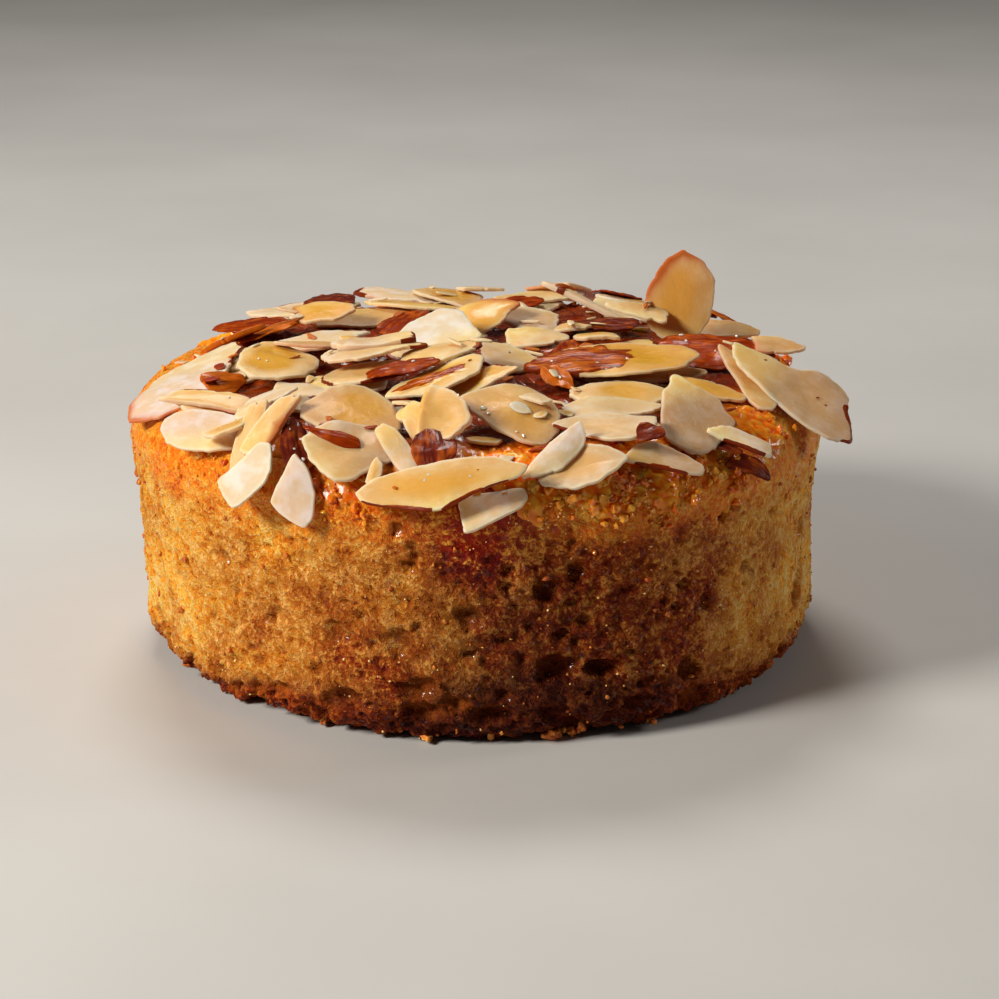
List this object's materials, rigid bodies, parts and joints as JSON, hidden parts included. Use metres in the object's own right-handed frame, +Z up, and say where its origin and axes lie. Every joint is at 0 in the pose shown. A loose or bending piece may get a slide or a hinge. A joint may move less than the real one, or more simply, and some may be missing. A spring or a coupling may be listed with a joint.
{
  "type": "mini almond cake",
  "caption": "Round single-portion sponge cake with a slightly domed glazed top heaped with toasted flaked almonds that hang over its rim.",
  "frame": {"origin": "centre of the sponge's flat underside", "axes": "+Z up from the flat base through the almond topping; the picture looks at the cake from the -Y side, with +X to its right"},
  "size_m": [0.0873, 0.0867, 0.0457],
  "materials": {
    "baked_sponge": "open golden-brown crumb, glossier browned crust round the top",
    "flaked_almonds": "ivory to golden sliced almonds with brown skins, held by a glossy amber glaze"
  },
  "bodies": {
    "root": {"sponge": "baked_sponge", "almond_topping": "flaked_almonds"}
  },
  "joints": []
}
